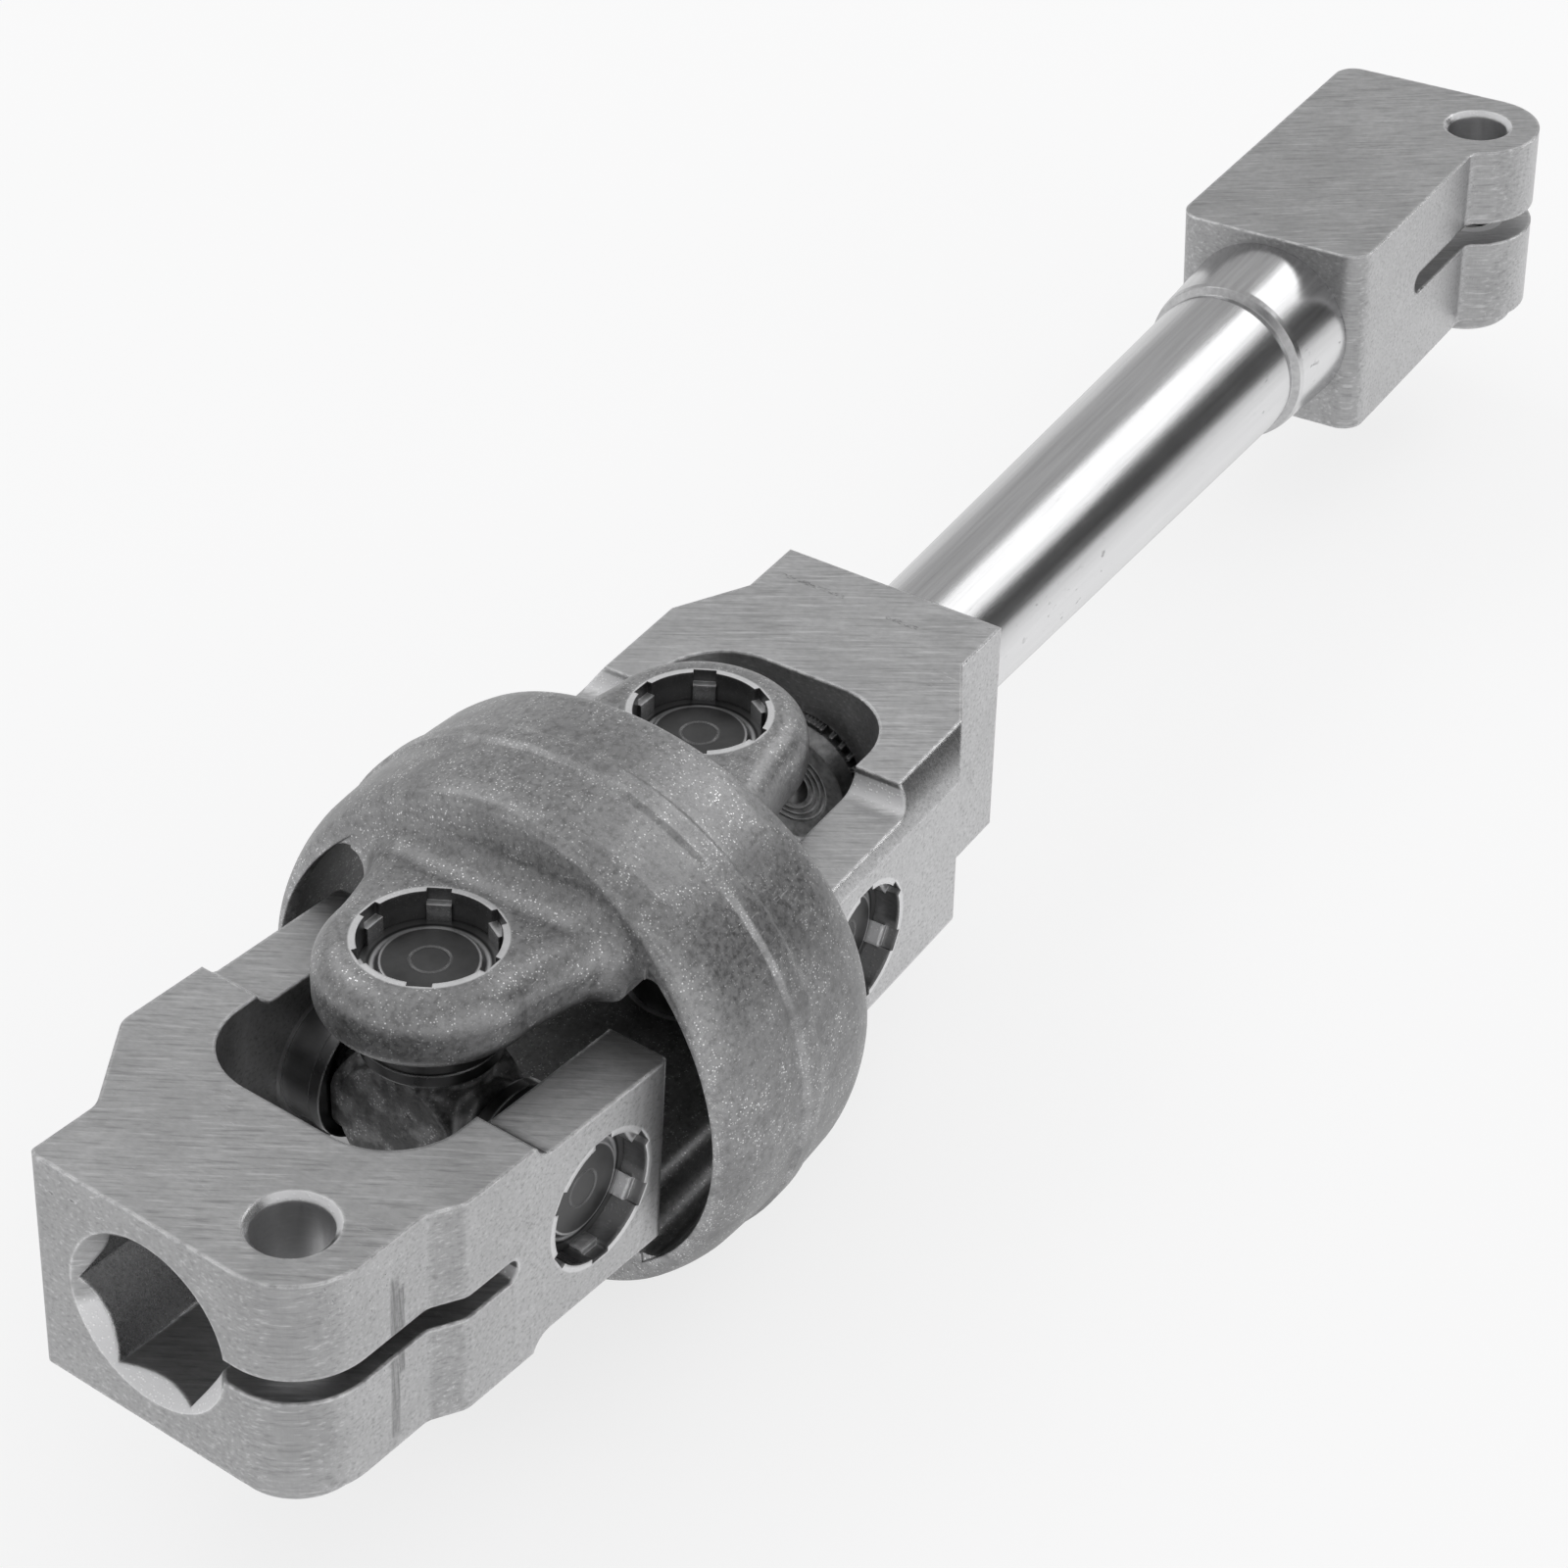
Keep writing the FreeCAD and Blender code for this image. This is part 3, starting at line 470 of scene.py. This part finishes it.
def ground_metal(name, base, rough_low, rough_high, axes=()):
    """Ground bearing steel: cloudy skin, brighter edges, and on each axis a painted highlight ring
    on the rim and a paler ring on the shoulder.
    """
    material, t = new_material(name)
    normal, edge = t.edges(0.3 * MM)
    cloud = t.noise(t.place((1, 1, 1)), 260.0, 4.0, 0.6)
    fine = t.noise(t.place((1, 1, 1)), 5000.0, 2.0, 0.5)
    colour = t.mix_colour(t.remap(cloud, 0.3, 0.7), grey(base * 0.80), grey(base * 1.20))
    colour = t.mix_colour(t.math("MULTIPLY", edge, 0.7), colour, grey(min(1.0, base * 4.0)))
    for axis in axes:
        away = t.from_axis(axis)
        rim = t.band(away, *CUP_RIM_HIGHLIGHT, 0.12 * MM)
        shoulder = t.band(away, *CUP_SHOULDER, 0.12 * MM)
        # A painted highlight ring on each cup's rim, and a paler ring on its shoulder.
        colour = t.mix_colour(t.math("MULTIPLY", rim, 0.9), colour, grey(0.85))
        colour = t.mix_colour(t.math("MULTIPLY", shoulder, 0.5), colour, grey(0.45))
    rough = t.remap(cloud, 0.3, 0.7, rough_low, rough_high)
    normal = t.bump(fine, 0.01 * MM, 0.3, normal)
    t.finish(Base_Color=colour, Metallic=1.0, Roughness=rough, Normal=normal)
    return material


def black_forging(name):
    """Blackened cross: dark skin with grey clouds and specks, worn grey on its edges."""
    material, t = new_material(name)
    normal, edge = t.edges(1.0 * MM)
    skin = t.noise(t.place((1, 1, 1)), 1100.0, 5.0, 0.65)
    wear = t.noise(t.place((1, 1, 1)), 350.0, 4.0, 0.6)
    worn = t.math("MULTIPLY", edge, t.remap(wear, 0.40, 0.62))
    colour = t.mix_colour(t.remap(skin, 0.3, 0.7), grey(0.03), grey(0.10))
    colour = t.mix_colour(t.remap(wear, 0.46, 0.62, 0.0, 0.6), colour, grey(0.24))
    speck = t.math("MULTIPLY", t.cells(3600.0, 0.25), t.remap(wear, 0.45, 0.60))
    colour = t.mix_colour(t.math("MULTIPLY", speck, 0.8), colour, grey(0.55))
    colour = t.mix_colour(t.math("MULTIPLY", worn, 0.8), colour, grey(0.45))
    rough = t.remap(skin, 0.3, 0.7, 0.30, 0.52)
    normal = t.bump(skin, 0.1 * MM, 0.6, normal)
    t.finish(Base_Color=colour, Metallic=0.8, Roughness=rough, Normal=normal)
    return material


def rubber(name):
    """Black seal rubber with a fine dusty skin."""
    material, t = new_material(name)
    skin = t.noise(t.place((1, 1, 1)), 1400.0, 3.0, 0.6)
    colour = t.mix_colour(skin, grey(0.012), grey(0.03))
    normal = t.bump(skin, 0.02 * MM, 0.3)
    t.finish(Base_Color=colour, Roughness=t.remap(skin, 0.3, 0.7, 0.42, 0.58), Normal=normal)
    return material


# Finishes of the nodes

lower_holes = [bolt_hole("lower_bolt_hole")]
upper_holes = [bolt_hole("upper_bolt_hole")]

# Two dark streaks run down the lower clamp's right side, and two scraped rows
# cross the top of the upper yoke. Each has a point, a direction, half its width
# and half its length.
lower_upright = mount_axis("lower_bolt_hole")[1]
lower_stains = [
    (Vector((-278.25, -17.75, 2.5)) * MM, lower_upright, 0.75 * MM, 11.0 * MM),
    (Vector((-277.05, -17.80, 5.5)) * MM, lower_upright, 0.50 * MM, 6.0 * MM),
]
upper_scrapes = [
    (Vector((-160.55, 8.40, 14.75)) * MM, Vector((0, 1, 0)), 0.42 * MM, 4.6 * MM),
    (Vector((-161.25, -4.40, 14.75)) * MM, Vector((0, 1, 0)), 0.45 * MM, 2.3 * MM),
]
cross_metal = black_forging("black_cross")
all_bearings = [lower_bearing, upper_bearing, near_bearing, far_bearing]
finish_of = {
    "lower_yoke": machined_metal(
        "machined_lower", 0.44, 0.0, [lower_bearing], lower_holes, stains=lower_stains),
    "upper_yoke": machined_metal(
        "machined_upper", 0.50, 1.3, [upper_bearing], scrapes=upper_scrapes),
    "upper_clamp": machined_metal("machined_clamp", 0.44, 2.1, [], upper_holes),
    "centre_yoke": forged_metal("forged_ring", 0.32, [near_bearing, far_bearing]),
    "shaft": polished_metal("polished_shaft", 0.50),
    "lower_cross": cross_metal,
    "upper_cross": cross_metal,
    "cup": ground_metal("ground_cup", 0.09, 0.28, 0.40, all_bearings),
    "needles": ground_metal("ground_needle", 0.5, 0.15, 0.22),
    "seal": rubber("seal_rubber"),
    "shell": ground_metal("pressed_shell", 0.10, 0.25, 0.35),
}
for name, node in nodes.items():
    kind = name if name in finish_of else name.split("_")[1]
    node.data.materials.clear()
    node.data.materials.append(finish_of[kind])


# Threads

THREAD_PITCH = 1.25 * MM
THREAD_DEPTH = 0.28 * MM
THREAD_FOOT = THREAD_PITCH * 0.42
THREAD_SINK = 0.05 * MM
THREAD_STEPS = 28


def thread_ridge(mount_name, body, metal):
    """A helical ridge on the wall of a tapped hole, nearly from end to end of the mount."""
    mount = mounts[mount_name]
    centre, axis = mount_axis(mount_name)
    wall = mount["dims"]["r_mm"] * MM + THREAD_SINK
    crest = wall - THREAD_DEPTH
    length = mount["dims"]["length_mm"] * MM - THREAD_PITCH
    side = axis.orthogonal().normalized()
    other = axis.cross(side)
    steps = int(length / THREAD_PITCH * THREAD_STEPS)
    verts = []
    faces = []
    for step in range(steps + 1):
        angle = 2 * math.pi * step / THREAD_STEPS
        out = side * math.cos(angle) + other * math.sin(angle)
        along = -length / 2 + step * THREAD_PITCH / THREAD_STEPS
        verts.append(centre + out * wall + axis * (along - THREAD_FOOT))
        verts.append(centre + out * crest + axis * along)
        verts.append(centre + out * wall + axis * (along + THREAD_FOOT))
    for step in range(steps):
        a = 3 * step
        for low, high in ((0, 1), (1, 2), (2, 0)):
            faces.append((a + low, a + 3 + low, a + 3 + high, a + high))
    faces.append((2, 1, 0))
    faces.append((3 * steps, 3 * steps + 1, 3 * steps + 2))
    mesh = bpy.data.meshes.new(mount_name + "_ridge")
    mesh.from_pydata([tuple(v) for v in verts], [], faces)
    mesh.materials.append(metal)
    ridge = bpy.data.objects.new(mount_name + "_ridge", mesh)
    scene.collection.objects.link(ridge)
    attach(ridge, body)


thread_ridge("upper_bolt_thread", "upper", finish_of["upper_clamp"])
thread_ridge("lower_bolt_thread", "lower", finish_of["lower_yoke"])


# Floor, world and lamps

FLOOR_HALF = 6.0
FLOOR_GAP = 0.2 * MM
FLOOR_GLOW = 0.74
PATCH_GLOW = 0.04
PATCH_PLACE = (-228.5 * MM, 18.0 * MM)
PATCH_RADII = (12.0 * MM, 26.0 * MM)
WORLD_LIGHT = 0.72
ROOM_LEVEL = 0.60
FLAG_LEVEL = 0.18
FLAG_DIRECTION = (0.676, -0.709, 0.203)
WHITE = (1.0, 1.0, 1.0, 1.0)


def shown_rays(tree):
    """Two masks: camera, glossy and transmission rays together, and camera rays alone."""
    path = tree.add("ShaderNodeLightPath")
    camera_ray = path.outputs["Is Camera Ray"]
    shown = tree.math("MAXIMUM", camera_ray, path.outputs["Is Glossy Ray"])
    return tree.math("MAXIMUM", shown, path.outputs["Is Transmission Ray"]), camera_ray


def make_floor(level):
    """A pale floor that keeps part of the shadow, with one darker patch painted on it.

    The patch lies under the ring yoke's left half at rest and reaches past it. It is no
    real shadow: it hides bright floor in the lower pocket, and stays put in every pose.
    """
    material, t = new_material("pale_floor")
    dust = t.noise(t.place((1, 1, 1)), 14.0, 3.0, 0.5)
    shift = tuple(-c / r for c, r in zip(PATCH_PLACE, PATCH_RADII)) + (0.0,)
    scaled = t.place(tuple(1.0 / r for r in PATCH_RADII) + (0.0,), shift=shift)
    away = t.vector_math("LENGTH", scaled).outputs["Value"]
    patch = t.remap(away, 1.0, 0.5)
    colour = t.mix_colour(dust, grey(0.86), grey(0.89))
    colour = t.mix_colour(t.math("MULTIPLY", patch, 0.6), colour, grey(0.25))
    diffuse = t.add("ShaderNodeBsdfDiffuse", in_Color=colour)
    glow = t.add("ShaderNodeEmission", in_Color=WHITE)
    glow_share = t.remap(patch, 0.0, 1.0, FLOOR_GLOW, PATCH_GLOW)
    mix = t.add("ShaderNodeMixShader", in_Fac=t.math("MULTIPLY", shown_rays(t)[0], glow_share))
    t.tree.links.new(diffuse.outputs["BSDF"], mix.inputs[1])
    t.tree.links.new(glow.outputs["Emission"], mix.inputs[2])
    out = t.add("ShaderNodeOutputMaterial")
    t.tree.links.new(mix.outputs["Shader"], out.inputs["Surface"])
    mesh = bpy.data.meshes.new("floor")
    s = FLOOR_HALF
    corners = [(-s, -s, level), (s, -s, level), (s, s, level), (-s, s, level)]
    mesh.from_pydata(corners, [], [(0, 1, 2, 3)])
    mesh.materials.append(material)
    floor = bpy.data.objects.new("floor", mesh)
    scene.collection.objects.link(floor)


make_floor(cad_box[0][2] - FLOOR_GAP)

world = bpy.data.worlds.new("studio")
scene.world = world
world.use_nodes = True
w = Tree(world.node_tree)
direction = w.add("ShaderNodeTexCoord")
split = w.add("ShaderNodeSeparateXYZ")
w.tree.links.new(direction.outputs["Generated"], split.inputs["Vector"])
shown, camera_ray = shown_rays(w)
light = w.add("ShaderNodeBackground", in_Color=WHITE, in_Strength=WORLD_LIGHT)
# The backdrop is white to look at and in reflections, the room above it is dimmer,
# and a dark flag stands beyond the upper end, to the right.
room = w.remap(split.outputs["Z"], 0.0, 0.15, 1.0, ROOM_LEVEL)
towards = w.vector_math("DOT_PRODUCT", direction.outputs["Generated"], FLAG_DIRECTION)
flag = w.add("ShaderNodeMapRange", interpolation_type="SMOOTHSTEP")
w.feed(flag.inputs["Value"], towards.outputs["Value"])
w.feed(flag.inputs["From Min"], 0.78)
w.feed(flag.inputs["From Max"], 0.94)
w.feed(flag.inputs["To Min"], 1.0)
w.feed(flag.inputs["To Max"], FLAG_LEVEL)
room = w.math("MULTIPLY", room, flag.outputs["Result"])
room = w.math("MAXIMUM", room, camera_ray)
seen = w.add("ShaderNodeBackground", in_Color=WHITE, in_Strength=room)
mix = w.add("ShaderNodeMixShader")
w.feed(mix.inputs["Fac"], shown)
w.tree.links.new(light.outputs["Background"], mix.inputs[1])
w.tree.links.new(seen.outputs["Background"], mix.inputs[2])
out = w.add("ShaderNodeOutputWorld")
w.tree.links.new(mix.outputs["Shader"], out.inputs["Surface"])


def lamp(name, place, target, size, power):
    """A rectangular lamp, aimed at a target."""
    data = bpy.data.lights.new(name, "AREA")
    data.shape = "RECTANGLE"
    data.size, data.size_y = size
    data.energy = power
    obj = bpy.data.objects.new(name, data)
    scene.collection.objects.link(obj)
    obj.location = place
    aim = Vector(target) - Vector(place)
    obj.rotation_euler = aim.to_track_quat("-Z", "Y").to_euler()


middle = (-0.16, 0.0, 0.0)
lamp("key", (-0.1, 0.9, 1.1), middle, (0.9, 0.6), 2.2)
lamp("side", (-0.5, -1.2, 0.5), middle, (0.8, 0.5), 1.5)
lamp("back", (0.735, -0.312, 0.803), (-0.1, 0.0, 0.0), (0.80, 0.50), 2.3)


# Camera, at the photograph's viewing angle

PHOTO_SIZE = 1600.0
FOCAL_PIXELS = 3729.12
SENSOR = 36.0
CAMERA_PLACE = Vector((-465.571, -177.751, 266.871)) * MM

azimuth = math.radians(31.89)
elevation = math.radians(38.32)
roll = math.radians(-0.86)
forward = Vector((
    math.cos(elevation) * math.cos(azimuth),
    math.cos(elevation) * math.sin(azimuth),
    -math.sin(elevation),
))
right = forward.cross(Vector((0, 0, 1))).normalized()
down = forward.cross(right)
across = right * math.cos(roll) + down * math.sin(roll)
downward = down * math.cos(roll) - right * math.sin(roll)
camera_data = bpy.data.cameras.new("camera")
camera_data.sensor_width = SENSOR
camera_data.lens = FOCAL_PIXELS / PHOTO_SIZE * SENSOR
camera_data.clip_start = 0.01
camera_data.clip_end = 50.0
camera = bpy.data.objects.new("camera", camera_data)
scene.collection.objects.link(camera)
turn = Matrix((across, -downward, -forward)).transposed()
camera.matrix_world = Matrix.Translation(CAMERA_PLACE) @ turn.to_4x4()
scene.camera = camera

scene.view_settings.view_transform = "Standard"
